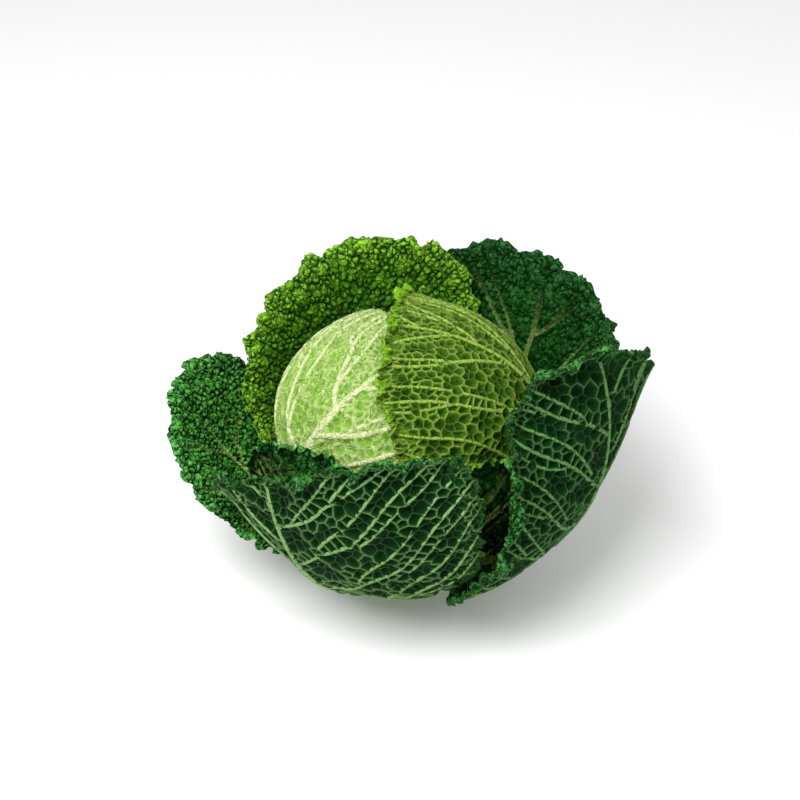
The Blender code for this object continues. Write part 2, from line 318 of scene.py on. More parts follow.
def outward_of(points):
    ahead = np.roll(points, -1, axis=0) - np.roll(points, 1, axis=0)
    ahead[0], ahead[-1] = points[1] - points[0], points[-1] - points[-2]
    return np.stack([-ahead[:, 1], ahead[:, 0]], axis=1) / np.hypot(*ahead.T)[:, None]


def outline(leaf, step):
    """Points round the blade, from its root up the -side, round the tip and down the +side.

    They first lie closest near the tip, and then at even steps. The outline is let out by what its
    rolled edge takes up.
    """
    run = length(leaf)
    near_tip = 0.8 + 0.2 * np.sin(np.linspace(0, np.pi / 2, 90))
    along = np.concatenate([np.linspace(0, 0.8, 160), near_tip])
    half, middle = half_width_at(leaf, along), leaf.skew * along**1.5
    sides = []
    for way in (-1, 1):
        rim = along * run + way * leaf.slant * half / leaf.half_width * along**2
        sides.append(np.stack([middle + way * half, rim], axis=1))
    points = np.concatenate([sides[0], sides[1][::-1]])
    places = np.concatenate([[0], np.cumsum(np.hypot(*np.diff(points, axis=0).T))])
    wanted = np.linspace(0, places[-1], max(12, round(places[-1] / step)))
    points = np.stack([np.interp(wanted, places, points[:, i]) for i in (0, 1)], axis=1)
    place = wanted / places[-1]
    turn = turned(leaf, place)
    taken = leaf.curl_radius * (turn - np.sin(np.minimum(turn, math.pi / 2)))
    return points + outward_of(points) * taken[:, None], place


def scalloped(leaf, step):
    """The outline with the lobes of its edge, large and small."""
    points, place = outline(leaf, step)
    phase = wave_phase(leaf, place)
    lobe = leaf.lobes * (2 * abs(np.sin(0.85 * phase + 1.1 * np.sin(0.6 * phase))) - 1)
    small = 0.4 * leaf.lobes * (2 * abs(np.sin(2.4 * phase + 2.0 * np.sin(1.9 * phase))) - 1)
    free = ease((place - 0.1) / 0.1) * ease((0.9 - place) / 0.1)
    return points + outward_of(points) * ((lobe + small) * free)[:, None]


EDGE_STEP = 1.5
POINTS_AT_ONCE = 4000


def to_edge(leaf, points):
    """Each point's distance in from the outline, the way out to it, and the place it reaches."""
    edge, places = outline(leaf, EDGE_STEP)
    outward = outward_of(edge)
    nearest = np.concatenate([
        ((block[:, None] - edge[None]) ** 2).sum(axis=2).argmin(axis=1)
        for block in np.array_split(points, max(1, len(points) // POINTS_AT_ONCE))])
    nearest = np.clip(nearest, 1, len(edge) - 2)
    along = edge[nearest + 1] - edge[nearest - 1]
    share = np.clip(((points - edge[nearest - 1]) * along).sum(axis=1) / (along**2).sum(axis=1), 0, 1)
    foot = edge[nearest - 1] + along * share[:, None]
    way = outward[nearest - 1] * (1 - share)[:, None] + outward[nearest + 1] * share[:, None]
    far = np.hypot(*(points - foot).T)
    far = np.where(((points - foot) * way).sum(axis=1) > 0, -far, far)
    place = places[nearest - 1] * (1 - share) + places[nearest + 1] * share
    return far, way / np.hypot(*way.T)[:, None], place


def midrib(leaf, y):
    """How far to its +side the midrib lies."""
    return leaf.bow * (np.clip(y, 0, None) / length(leaf)) ** 1.5


RIB_STEP = 0.5  # between the points of a rib
MIDRIB_HALF = (1.5, 0.7)  # half the midrib's width, at the root and at the tip
SIDE_RIB_END = 0.5  # half a side rib's width at the leaf's edge
CLIMB = 0.45  # how steeply the lowest side ribs climb
CLIMB_GAIN = 0.002  # how much more they climb, for each millimetre outwards
RIB_SWAY = 2.2  # how far a side rib sways, and over what length
RIB_SWAY_LENGTH = 8.0
FORKS = ((0.22, 0.48), (0.5, -0.36))  # (share of the way out, how far it parts, in rib spacings)
FORK_LENGTH = 16.0  # over which a fork parts from its rib
FORK_WIDTH = 0.75  # of a fork, as a share of its rib's


def rib_rows(leaf):
    """The ribs, each as a row of points (x, y, half width): the midrib, the side ribs, their forks."""
    run = length(leaf)
    y = np.arange(0, run, RIB_STEP)
    thinner = MIDRIB_HALF[0] - MIDRIB_HALF[1]
    rows = [np.stack([midrib(leaf, y), y, leaf.rib_width * (MIDRIB_HALF[0] - thinner * y / run)], axis=1)]
    out = np.arange(0, leaf.half_width + abs(leaf.skew) + abs(leaf.bow) + 15, RIB_STEP)
    for start in np.arange(0.55 * leaf.ribs, 0.9 * run, leaf.ribs):
        for side in (-1, 1):
            begin = start + 0.25 * side * leaf.ribs
            share = begin / run
            y = begin + (CLIMB + leaf.fan * share) * out + CLIMB_GAIN * out**2
            y += RIB_SWAY * (np.sin(out / RIB_SWAY_LENGTH + start) - math.sin(start))
            broader = (0.75 - 0.35 * share) * (1 - ease(out / leaf.half_width))
            half = leaf.rib_width * (SIDE_RIB_END + broader)
            rows.append(np.stack([midrib(leaf, y) + side * out, y, half], axis=1))
            for begun, spread in FORKS:
                past = out - leaf.half_width * (begun + 0.12 * math.sin(3 * start + side))
                parted = 1 - np.exp(-np.clip(past, 0, None) / FORK_LENGTH)
                bent = y + spread * leaf.ribs * parted
                fork = np.stack([midrib(leaf, bent) + side * out, bent, FORK_WIDTH * half], axis=1)
                rows.append(fork[past > 1])
    return rows


def rib_tree(leaf):
    """Finds the nearest point of a rib, as an index of the rows of them all."""
    rows = np.concatenate(rib_rows(leaf))
    tree = kdtree.KDTree(len(rows))
    for index, (x, y, _) in enumerate(rows):
        tree.insert((x, y, 0), index)
    tree.balance()
    return tree, rows


RIM_BAND = 5.0  # how far in from the edge the blisters keep the rim's size, and how soon they grow
RIM_FADE = 14.0


def cell_at(leaf, far):
    return leaf.rim_cell + (leaf.cell - leaf.rim_cell) * ease((far - RIM_BAND) / RIM_FADE)


BESIDE_RIB = 0.47  # from a rib to the middles of its blisters, as a share of a blister's size
APART_AT_RIB = 0.72  # between the middles of two blisters, beside the ribs and elsewhere
APART = 0.82
FILLER_STEP = 0.42
OUTSIDE = 12.0  # how far past the blade the scattered middles reach
DRIFT_LENGTH = 20.0  # over which the way that the blisters point drifts, and by how much
DRIFT = 3.5

seed_set(1)  # so that noise_vector gives the same in each run, and not by the time of day


def blister_middles(leaf):
    """The middles of the blisters: in pairs along the ribs, and scattered between them."""
    draw = random.Random(leaf.seed)
    wanted = []
    for row in rib_rows(leaf):
        spots = row[:, :2]
        local = cell_at(leaf, to_edge(leaf, spots)[0])
        ahead = np.gradient(spots, axis=0)
        steps = np.hypot(*ahead.T)
        gone = 0.0
        for spot, way, size, room in zip(spots, ahead / steps[:, None], steps, local):
            gone -= size
            if gone <= 0:
                wanted += [(spot[0] - off * way[1], spot[1] + off * way[0])
                           for off in (-BESIDE_RIB * room, BESIDE_RIB * room)]
                gone += draw.uniform(0.75, 1.3) * room
    reach, step = leaf.half_width + abs(leaf.skew) + OUTSIDE, FILLER_STEP * leaf.rim_cell
    filler = [(x + draw.uniform(-1, 1) * step, y + draw.uniform(-1, 1) * step)
              for x in np.arange(-reach, reach, step)
              for y in np.arange(0, length(leaf) + abs(leaf.slant) + OUTSIDE, step)]
    draw.shuffle(filler)
    points = np.array(wanted + filler)
    apart = np.concatenate([np.full(len(wanted), APART_AT_RIB), np.full(len(filler), APART)])
    far, _, _ = to_edge(leaf, points)
    local = cell_at(leaf, far)
    free = far > 0.5 * local
    points, apart = points[free], (apart * local)[free]
    kept, count = np.empty((len(points), 2)), 0
    for point, room in zip(points, apart):
        turn = DRIFT * noise_vector((point[0] / DRIFT_LENGTH, point[1] / DRIFT_LENGTH, leaf.seed)).x
        gap = kept[:count] - point
        long = (gap[:, 0] * math.cos(turn) + gap[:, 1] * math.sin(turn)) / leaf.stretch
        wide = (gap[:, 1] * math.cos(turn) - gap[:, 0] * math.sin(turn)) * leaf.stretch
        if count == 0 or (long**2 + wide**2).min() > room**2:
            kept[count] = point
            count += 1
    return kept[:count]


EDGE_SHARE = 0.45  # the step between the edge's points, as a share of a blister's size there
UNEVEN = 0.22  # how far a corner is moved aside, as a share of a blister's size


def flat_cells(leaf):
    """A flat sheet with one face for each blister, whose sides are the veins round it."""
    edge = scalloped(leaf, EDGE_SHARE * leaf.rim_cell)
    points = [Vector(p) for p in np.concatenate([edge, blister_middles(leaf)])]
    ring = [(i, (i + 1) % len(edge)) for i in range(len(edge))]
    made = geometry.delaunay_2d_cdt(points, ring, [], 1, 1e-3)
    mesh = bmesh.new()
    middle = mesh.verts.layers.float.new("middle")
    for name in ("vein", "width", "lift", "tone"):
        mesh.verts.layers.float.new(name)
    verts = [mesh.verts.new((p.x, p.y, 0)) for p in made[0]]
    for face in made[2]:
        mesh.faces.new([verts[i] for i in face])
    bmesh.ops.recalc_face_normals(mesh, faces=mesh.faces)
    if sum(face.normal.z for face in mesh.faces) < 0:
        bmesh.ops.reverse_faces(mesh, faces=mesh.faces)
    for vert in mesh.verts:
        vert[middle] = 0.0 if vert.is_boundary else 1.0
    spokes = [e for e in mesh.edges if not e.is_boundary]
    for vert in bmesh.ops.poke(mesh, faces=mesh.faces)["verts"]:
        vert[middle] = 0.0
    bmesh.ops.rotate_edges(mesh, edges=spokes, use_ccw=False)
    bmesh.ops.dissolve_verts(mesh, verts=[v for v in mesh.verts if v[middle] > 0.5])
    kept = {e.link_loops[0].link_loop_next.edge for e in mesh.edges if e.is_boundary}
    spare = [e for v in mesh.verts if v.is_boundary for e in v.link_edges
             if not e.is_boundary and e not in kept]
    bmesh.ops.dissolve_edges(mesh, edges=list(dict.fromkeys(spare)), use_verts=False)
    for vert in mesh.verts:
        if not vert.is_boundary:
            vert.co.xy += UNEVEN * leaf.cell * noise_vector(vert.co / leaf.cell).xy
    return mesh


FINE_VEIN = (0.3, 0.28)  # (how strong, half its width) round one blister
GROUP_VEIN = (0.7, 0.5)  # round a group of blisters
RIB_PULL = 0.41  # how near a rib a corner is drawn onto it, as a share of a blister's size


def mark_veins(leaf, mesh):
    """Sets how strong and how wide the vein at each vertex is, and puts the ribs on their lines."""
    vein, width = (mesh.verts.layers.float[name] for name in ("vein", "width"))
    draw = random.Random(leaf.seed + 1)
    run = length(leaf)
    mesh.faces.index_update()
    centres = np.array([face.calc_center_median().xy for face in mesh.faces])
    patches = kdtree.KDTree(len(centres))
    chosen = []
    order = list(range(len(centres)))
    draw.shuffle(order)
    for index in order:
        spot = centres[index]
        if all(math.hypot(*(spot - centres[other])) > 0.8 * leaf.group for other in chosen):
            patches.insert((*spot, 0), len(chosen))
            chosen.append(index)
    patches.balance()
    group = [patches.find((*spot, 0))[1] for spot in centres]
    inner = [e for e in mesh.edges if len(e.link_faces) == 2]
    pairs = np.array([[f.index for f in e.link_faces] for e in inner])
    lift = mesh.verts.layers.float["lift"]
    for vert in mesh.verts:
        vert[vein], vert[width] = FINE_VEIN
        vert[lift] = 0.0 if leaf.netted else draw.uniform(0, 0.6 if vert.is_boundary else 0.3)
    for edge, (a, b) in zip(inner, pairs):
        if group[a] != group[b]:
            for vert in edge.verts:
                vert[vein], vert[width], vert[lift] = *GROUP_VEIN, 0.0
    ribs, rows = rib_tree(leaf)
    far, _, _ = to_edge(leaf, np.array([vert.co.xy for vert in mesh.verts]))
    for vert, room in zip(mesh.verts, cell_at(leaf, far)):
        spot, index, gap = ribs.find(vert.co)
        if gap < RIB_PULL * room and not vert.is_boundary:
            vert.co += 0.9 * (spot - vert.co)
            vert[vein], vert[width], vert[lift] = 1.0, rows[index, 2], 0.0


FOOT_LIFT = 0.25  # how high the foot of a vein and the flank of a blister lie, up to the top at 1
FLANK_LIFT = 0.85
FLANK_SHARE = 0.48  # how far in towards the top the flank lies


def raise_rings(leaf, mesh):
    """Splits each blister into rings: the vein round it, the vein's foot, its flank and its top."""
    vein, lift, tone = (mesh.verts.layers.float[name] for name in ("vein", "lift", "tone"))
    width = mesh.verts.layers.float["width"]
    draw = random.Random(leaf.seed + 2)
    if leaf.netted:
        split = bmesh.ops.bisect_edges(mesh, edges=mesh.edges, cuts=1)["geom_split"]
        for vert in split:
            if isinstance(vert, bmesh.types.BMVert):
                ends = [e.other_vert(vert) for e in vert.link_edges]
                vert[vein] = min(end[vein] for end in ends)
                vert[width] = min(end[width] for end in ends)
    cells = list(mesh.faces)
    shades = [draw.uniform(-1, 1) for _ in cells]
    for ring in ("foot", "flank") if leaf.netted else ("flank",):
        bmesh.ops.inset_individual(mesh, faces=cells, thickness=0.01)
        for face, shade in zip(cells, shades):
            middle = face.calc_center_median()
            for vert in face.verts:
                toward = middle - vert.co
                if ring == "foot":
                    vert.co += toward * min(vert[width] / max(toward.length, 1e-6), 0.45)
                    vert[lift] = FOOT_LIFT
                else:
                    vert.co += toward * FLANK_SHARE
                    vert[lift] = FLANK_LIFT
                vert[vein], vert[tone] = 0.0, shade
    for vert in bmesh.ops.poke(mesh, faces=cells)["verts"]:
        vert[vein], vert[lift] = 0.0, 1.0
        vert[tone] = next(iter(vert.link_edges)).other_vert(vert)[tone]
    quads = [face for face in mesh.faces if len(face.verts) > 3]
    bmesh.ops.triangulate(mesh, faces=quads)


FURTHEST_LEAN = 1.4  # past flare_to, where it is 1


def wall(leaf, flat):
    """The leaf's inner face, before its edge is rolled or waved: points round the head's centre."""
    run = length(leaf)
    turn = math.radians(leaf.azimuth)
    middle = math.radians((root_rise(leaf) + leaf.tip_rise) / 2)
    outward = np.array([math.cos(turn), math.sin(turn), 0])
    across = np.array([-math.sin(turn), math.cos(turn), 0])
    upward = np.array([0, 0, 1])
    centre = math.cos(middle) * outward + math.sin(middle) * upward
    climbing = -math.sin(middle) * outward + math.cos(middle) * upward
    x, y = flat[:, 0], flat[:, 1] - run / 2
    size = np.maximum(np.hypot(x, y), 1e-6)
    angle = size / leaf.wall[0]
    way = (np.cos(angle)[:, None] * centre
           + (np.sin(angle) * x / size)[:, None] * across
           + (np.sin(angle) * y / size)[:, None] * climbing)
    rise = np.arcsin(np.clip(way[:, 2], -1, 1))
    reach = 1 / np.hypot(np.cos(rise) / leaf.wall[0], np.sin(rise) / leaf.wall[1])
    lean = (np.degrees(rise) - leaf.flare_from) / (leaf.flare_to - leaf.flare_from)
    lean = np.clip(lean, 0, FURTHEST_LEAN) ** 2
    reach = reach + (leaf.flare + leaf.twist * flat[:, 0] / leaf.half_width) * lean
    return way * reach[:, None] + (0, 0, HEAD_CENTRE)


def facing(surface, leaf, flat):
    """Which way the outer side of a surface faces, and the ways along its two flat directions."""
    step = 0.2
    here = surface(leaf, flat)
    along_x, along_y = surface(leaf, flat + (step, 0)) - here, surface(leaf, flat + (0, step)) - here
    outward = np.cross(along_x, along_y)
    return outward / np.maximum(np.linalg.norm(outward, axis=1), 1e-9)[:, None], along_x, along_y


WAVE_REACH = 22.0  # how far in from the edge its waves fade out
FRILL_REACH = 10.0


def waved(leaf, flat):
    """The leaf's inner face with its edge rolled out, its waves and its frill."""
    far, way, place = to_edge(leaf, flat)
    here = wall(leaf, flat)
    outward, along_x, along_y = facing(wall, leaf, flat)
    to_rim = way[:, :1] * along_x + way[:, 1:] * along_y
    to_rim /= np.maximum(np.linalg.norm(to_rim, axis=1), 1e-9)[:, None]
    full, radius = turned(leaf, place), leaf.curl_radius
    rolled = np.clip(full * radius - far, 0, None)
    turn = rolled / radius
    lift, back = radius * (1 - np.cos(turn)), rolled - radius * np.sin(turn)
    facing_out = outward * np.cos(turn)[:, None] - to_rim * np.sin(turn)[:, None]
    height = np.interp(place, *zip(*leaf.ruffle))
    phase = wave_phase(leaf, place)
    wave = 0.5 * height * (1 + np.sin(phase + 1.3 * np.sin(0.37 * phase)))
    wave *= np.clip(1 - far / WAVE_REACH, 0, 1) ** 1.5
    small = 2 * math.pi * place * 6 * leaf.half_width / leaf.frill_length + 1.7 * np.sin(0.31 * phase)
    frill = leaf.frill * np.sin(small + 1.2 * np.sin(0.43 * small)) * ease(height / 2 + full / 0.4)
    frill *= (0.7 + 0.3 * np.sin(1.7 * phase + 1)) * np.clip(1 - far / FRILL_REACH, 0, 1.2) ** 1.3
    moved = outward * lift[:, None] - to_rim * back[:, None] + facing_out * (wave + frill)[:, None]
    return here + moved


def mound_at(leaf, flat, vein):
    """1 in the middle of a group of blisters, down to 0 at the veins and ribs round it."""
    strong = kdtree.KDTree(int((vein > 0.5).sum()))
    for index, (x, y) in enumerate(flat[vein > 0.5]):
        strong.insert((x, y, 0), index)
    strong.balance()
    from_vein = np.array([strong.find((x, y, 0))[2] for x, y in flat])
    return 1 - np.clip(1 - from_vein / (0.42 * leaf.group), 0, 1) ** 2


def nearest_rib(leaf, flat):
    """Half the width of the rib nearest to each point, and how many times that it is away."""
    ribs, rows = rib_tree(leaf)
    found = [ribs.find((x, y, 0)) for x, y in flat]
    half = rows[[index for _, index, _ in found], 2]
    return half, np.array([gap for _, _, gap in found]) / half


RIM_THIN = 0.55  # how thick the very edge is, as a share of the blade
RIDGE = (2.5, 9.0)  # half the midrib's ridge at the tip, and how much broader it is at the root
RIB_CREST = 0.8  # how high a rib stands, as a share of half its width
VEIN_CREST = 0.6
CALM_FROM = 12.0  # how far up the stalk the blisters begin, and over what length they grow
CALM_OVER = 30.0
LET_OUT = (0.6, 4.2)  # how far the blisters beside the midrib are moved off it, tip and root
LET_OUT_REACH = 22.0


def place_leaf(leaf, mesh):
    """Lays the flat sheet round the head, raises its blisters and sets how thick it is."""
    layers = [mesh.verts.layers.float[name] for name in ("vein", "lift", "tone")]
    flat = np.array([v.co.xy for v in mesh.verts])
    vein, lift, tone = np.array([[v[layer] for layer in layers] for v in mesh.verts]).T
    far, _, _ = to_edge(leaf, flat)
    mound = mound_at(leaf, flat, vein)
    half, gap = nearest_rib(leaf, flat)
    inside = ease((far - 1) / 5)
    on_rib = ease(1.8 - gap) * inside
    vein = np.maximum(vein, on_rib)
    along = flat[:, 1] / length(leaf)
    off = flat[:, 0] - midrib(leaf, flat[:, 1])
    open_to = LET_OUT[0] + LET_OUT[1] * (1 - ease(along / 0.7))
    reaching = np.exp(-abs(off) / LET_OUT_REACH)
    flat[:, 0] += np.sign(off) * open_to * np.clip(abs(off) / 1.1, 0, 1) * reaching
    outward, _, _ = facing(waved, leaf, flat)
    calm = ease((flat[:, 1] - CALM_FROM) / CALM_OVER) * ease((far + 1.5) / 3)
    blister = leaf.relief * lift * (1 + 0.4 * tone) * (0.5 + 0.5 * mound)
    raised = (blister * (1 - 0.8 * on_rib) + leaf.bulge * mound) * calm
    places = waved(leaf, flat) - outward * raised[:, None]
    broad = RIDGE[0] + RIDGE[1] * (1 - ease(along / 0.75))
    beside = np.exp(-((off / broad) ** 2))
    ridge = (leaf.rib - BLADE) * (1 - ease(along / 0.85)) * beside
    crest = np.maximum(np.where(lift < 0.05, vein * VEIN_CREST, 0), RIB_CREST * half * on_rib)
    thick = BLADE * (RIM_THIN + (1 - RIM_THIN) * ease((far + 1) / 5)) + ridge + crest
    most = float(thick.max())
    stalk = (1 - ease(along / 0.4)) * beside
    near_rib = np.clip(1 - gap / 3, 0, 1) * inside
    extra = [mesh.verts.layers.float.new(name) for name in ("rib", "far", "stalk", "mound", "along")]
    deform = mesh.verts.layers.deform.verify()
    values = zip(mesh.verts, places * MM, thick / most, near_rib, far, stalk, mound, along)
    for vert, spot, share, *marks in values:
        vert.co = spot
        vert[deform][0] = float(share)
        for layer, mark in zip(extra, marks):
            vert[layer] = float(mark)
    return most


def attribute(place, name):
    return place.node("ShaderNodeAttribute", {"attribute_name": name}, {}, 2)


@dataclass(frozen=True)
class Look:
    """A leaf's colours on one face, with light and shade painted in. The colour runs from the groove's to
    the top's with the relief's height: painted shade in the creases of an inner face and in the pits of a
    back. Top, rim and far_shade are those of the blisters' tops.
    """

    groove: tuple  # between the blisters, dark on an inner face as painted shade in the creases
    # at the relief's height: dark on a back, as painted shade in the pits
    top: tuple
    rim: tuple  # near the leaf's edge, brighter: painted light on the rim
    far_shade: tuple  # far in from it: painted shade in the leaf's hollow
    vein: tuple
    weights: tuple = (0.4, 0.3, 0.4)  # how far a blister, a group and a wrinkle carry the painted relief shade to their top colour
    ends: tuple = (0.2, 1.0)  # the heights of the first and the last colour
    net: float = 0.0  # how clearly the veins round a group of blisters show
    fine: float = 0.0  # how clearly those round one blister do
    clear: float = 1.0  # how clearly the ribs do
    fades: tuple = (2.0, 3.0)  # the shares of the leaf's length between which the ribs fade
    rough: float = 0.7  # how strongly the skin is crumpled
    glow: float = 0.12  # how much light passes through the skin
    shine: float = 0.3


CLOUDS = 24.0  # to the metre: broad clouds, the skin's creases and its grain
CREASES = 250.0
GRAINS = 420.0
PAINTED_SHADE_REACH = (10.0, 50.0)  # how far in from the edge the top colour turns into the far one, the painted shade of the hollow
PAINTED_RIM_LIGHT = (2.0, 16.0)  # and the rim's painted light into those
RIB_EDGE = (0.6, 0.69)  # of the marks at each vertex, where a rib, a vein round a group
NET_EDGE = (0.35, 0.68)  # and one round a blister begin to show
FINE_EDGE = (0.1, 0.28)


def leaf_material(name, look):
    made, shader, place = new_material(name, 0.45, look.glow)
    shader.inputs["Specular IOR Level"].default_value = look.shine
    marks = ("vein", "rib", "lift", "tone", "far", "stalk", "mound", "along")
    vein, rib, lift, tone, far, stalk, mound, along = (attribute(place, mark) for mark in marks)
    cloud = noise(place, CLOUDS, 3.0)
    grain = noise(place, GRAINS, 3.0)
    fold = noise(place, CREASES, 2.0, 0.8) - 0.5
    wrinkle = fold.maths("ABSOLUTE", fold).between(0.0, 0.1)
    by_blister, by_group, by_wrinkle = look.weights
    # Painted shade of the relief: the colour follows the height of the blisters, their groups and the
    # wrinkles, from the groove's colour to the top's, with a random tone and clouds.
    height = lift * by_blister + mound * by_group + wrinkle * by_wrinkle
    height = height + tone * 0.1 + (cloud - 0.5) * 0.5
    # Painted light on the rim and painted shade further in, over the tops' colour.
    painted_shade_inward = (far + (cloud - 0.5) * 40).between(*PAINTED_SHADE_REACH).mix((*look.top, 1), (*look.far_shade, 1))
    painted_light_tops = (far + (cloud - 0.5) * 16).between(*PAINTED_RIM_LIGHT).mix((*look.rim, 1), painted_shade_inward)
    # The blade's colour, with the relief's painted shade in it.
    blade = height.between(*look.ends).mix((*look.groove, 1), painted_light_tops)
    fade = 1 - along.between(*look.fades)
    ribs = (rib + stalk + (grain - 0.5) * 0.06).between(*RIB_EDGE) * look.clear * fade
    net = (vein + (grain - 0.5) * 0.1).between(*NET_EDGE) * look.net
    fine = vein.between(*FINE_EDGE) * look.fine
    lines = ribs.maths("MAXIMUM", ribs, net.maths("MAXIMUM", net, fine))
    feed(shader, "Base Color", lines.mix(blade, (*look.vein, 1)))
    feed(shader, "Normal", bump(wrinkle + grain * 0.4, look.rough, 0.0009))
    return made


def make_leaf(node, leaf, inner, outer, slot):
    """The whole leaf, from its flat cells to a closed sheet with a finish on each side."""
    mesh = flat_cells(leaf)
    mark_veins(leaf, mesh)
    raise_rings(leaf, mesh)
    most = place_leaf(leaf, mesh)
    made = write_object(node + "_fine", mesh, [outer, inner])
    group = made.vertex_groups.new(name="thickness")
    solid = made.modifiers.new("Solidify", "SOLIDIFY")
    solid.thickness = most * MM
    solid.offset = 1.0
    solid.vertex_group = group.name
    solid.thickness_vertex_group = 0.0
    solid.material_offset = 1
    finish_piece(made, node)


# In each look, groove and top carry the relief's painted shade, rim painted light on the edge, far_shade
# painted shade in the hollow.
PALE = Look(groove=(0.44, 0.57, 0.20), top=(0.10, 0.27, 0.01), rim=(0.18, 0.38, 0.02),
            far_shade=(0.15, 0.34, 0.02), vein=(0.60, 0.68, 0.34), weights=(0.5, 0.3, 0.5),
            ends=(0.15, 1.1), rough=0.9, glow=0.15, shine=0.12)
FRESH = Look(groove=(0.050, 0.125, 0.003), top=(0.002, 0.030, 0.0001), rim=(0.20, 0.44, 0.018),
             far_shade=(0.008, 0.052, 0.0003), vein=(0.26, 0.39, 0.07), weights=(0.3, 0.6, 0.1),
             ends=(0.0, 1.0), net=0.75, fine=0.3, shine=0.08)
pale_leaf = leaf_material("pale_leaf", PALE)
fresh_leaf = leaf_material("fresh_leaf", FRESH)

HEAD_LEAVES = {
    "head_leaf_back": Leaf(
        100, (71.6, 51.6), 104, 96, cell=9, rim_cell=7, group=20, ribs=30, rib=3, seed=3, lobes=0,
        relief=0.6, bulge=0.8, frill=0),
    "head_leaf_left": Leaf(
        213, (76.0, 56.2), 95, 110, cell=5.1, rim_cell=4.7, group=17, netted=True, stretch=1.8,
        ribs=40, rib_width=0.85, bow=40, rib=3, seed=5, lobes=0, relief=0.9, bulge=1.8, frill=0),
    "head_leaf_right": Leaf(
        -8, (80.4, 61.0), 98, 107, cell=6.0, rim_cell=3.6, group=15, netted=True, ribs=44,
        rib_width=0.5, rib=4, seed=8, fan=0.9, curl=SEAM_CURL, curl_radius=5, ruffle=SEAM, waves=19,
        relief=1.1, bulge=2.0, frill=3.0, frill_length=9),
}
HEAD_LOOKS = {
    "head_leaf_back": (pale_leaf, "pale_leaf"),
    "head_leaf_left": (pale_leaf, "pale_leaf"),
    "head_leaf_right": (fresh_leaf, "fresh_leaf"),
}
for node, leaf in HEAD_LEAVES.items():
    look, slot = HEAD_LOOKS[node]
    make_leaf(node, leaf, look, look, slot)

# The inner leaves: the three that have just opened, standing close round the head. Their tissue is
# thin, with raised blisters all over its inner face and a frilled, turned edge. Each grows from the
# stem on a broad stalk.

# Groove and top carry the relief's painted shade, rim painted light, far_shade painted shade.
BRIGHT_INSIDE = Look(
    groove=(0.004, 0.06, 0.0005), top=(0.11, 0.29, 0.010), rim=(0.23, 0.48, 0.03),
    far_shade=(0.012, 0.072, 0.002), vein=(0.22, 0.40, 0.05), clear=0.5, fades=(0.3, 0.8), rough=1.0,
    shine=0.1)
BRIGHT_OUTSIDE = Look(
    groove=(0.05, 0.19, 0.02), top=(0.012, 0.07, 0.005), rim=(0.12, 0.36, 0.02),
    far_shade=(0.02, 0.10, 0.007), vein=(0.30, 0.50, 0.15), weights=(0.25, 0.6, 0.15), ends=(0.0, 1.0),
    net=0.5, fine=0.15, shine=0.1)
DEEP_INSIDE = Look(
    groove=(0.0005, 0.022, 0.0005), top=(0.055, 0.22, 0.040), rim=(0.060, 0.23, 0.052),
    far_shade=(0.030, 0.16, 0.018), vein=(0.34, 0.48, 0.13), ends=(0.3, 1.05), fades=(0.55, 0.95),
    rough=1.0, shine=0.04)
bright_inside = leaf_material("bright_leaf_inside", BRIGHT_INSIDE)
bright_outside = leaf_material("bright_leaf_outside", BRIGHT_OUTSIDE)
deep_inside = leaf_material("deep_leaf_inside", DEEP_INSIDE)
# Painted light: a brighter copy of the deep leaves' inner colours, for the front left inner leaf and the
# left outer leaf, so that they look better lit.
painted_light_inside = leaf_material("lit_leaf_inside", replace(
    DEEP_INSIDE, top=(0.11, 0.42, 0.07), rim=(0.10, 0.38, 0.075), far_shade=(0.08, 0.34, 0.045)))

INNER_LEAVES = {
    "inner_leaf_front_right": Leaf(
        284, (87.5, 78.0), 17, 64, cell=6.0, rim_cell=3.2, full=0.28, flare=7, seed=13,
        curl=TURNED, ruffle=HEAD_EDGE, waves=13),
    "inner_leaf_front_left": Leaf(
        240, (93.5, 84.5), 19, 60, cell=6.0, rim_cell=3.2, flare=7, seed=21,
        curl=TURNED, ruffle=HEAD_EDGE, waves=13),
    "inner_leaf_back_left": Leaf(
        112, (97.0, 89.0), 25, 82, stretch=1.7, ribs=30, rib_width=0.8, skew=-4, slant=-13,
        flare=25, seed=34, curl=TURNED, curl_radius=9, ruffle=FREE_EDGE, waves=15, frill=1.2,
        relief=1.6, bulge=2.6),
}
INNER_LOOKS = {
    "inner_leaf_front_right": (bright_inside, deep_inside, "bright_leaf"),
    "inner_leaf_front_left": (painted_light_inside, deep_inside, "deep_leaf"),
    "inner_leaf_back_left": (bright_inside, bright_outside, "bright_leaf"),
}
for node, leaf in INNER_LEAVES.items():
    make_leaf(node, leaf, *INNER_LOOKS[node])

# The outer leaves: the oldest five, dark, thick and opened wide. The front and the right one show
# their backs, a net of strong pale ribs and veins, and the right one has the edge beside the head
# rolled out. They grow lowest on the stem.

# Groove and top carry the relief's painted shade, rim painted light, far_shade painted shade.
DEEP_OUTSIDE = Look(
    groove=(0.003, 0.036, 0.005), top=(0.0, 0.010, 0.0005), rim=(0.014, 0.08, 0.014),
    far_shade=(0.0, 0.014, 0.001), vein=(0.20, 0.36, 0.12), weights=(0.25, 0.6, 0.15), ends=(0.0, 0.9),
    net=0.65, fine=0.18, shine=0.05)
deep_outside = leaf_material("deep_leaf_outside", DEEP_OUTSIDE)
# Painted shade: darker copies of the deep leaves' colours, the inner one for the back right leaf and the
# outer one, with darker veins, for the right leaf.
painted_shade_inside = leaf_material("shaded_leaf_inside", replace(
    DEEP_INSIDE, top=(0.024, 0.115, 0.022), rim=(0.030, 0.125, 0.030), far_shade=(0.016, 0.09, 0.012)))
painted_shade_outside = leaf_material("shaded_leaf_outside", replace(DEEP_OUTSIDE, vein=(0.11, 0.24, 0.07)))

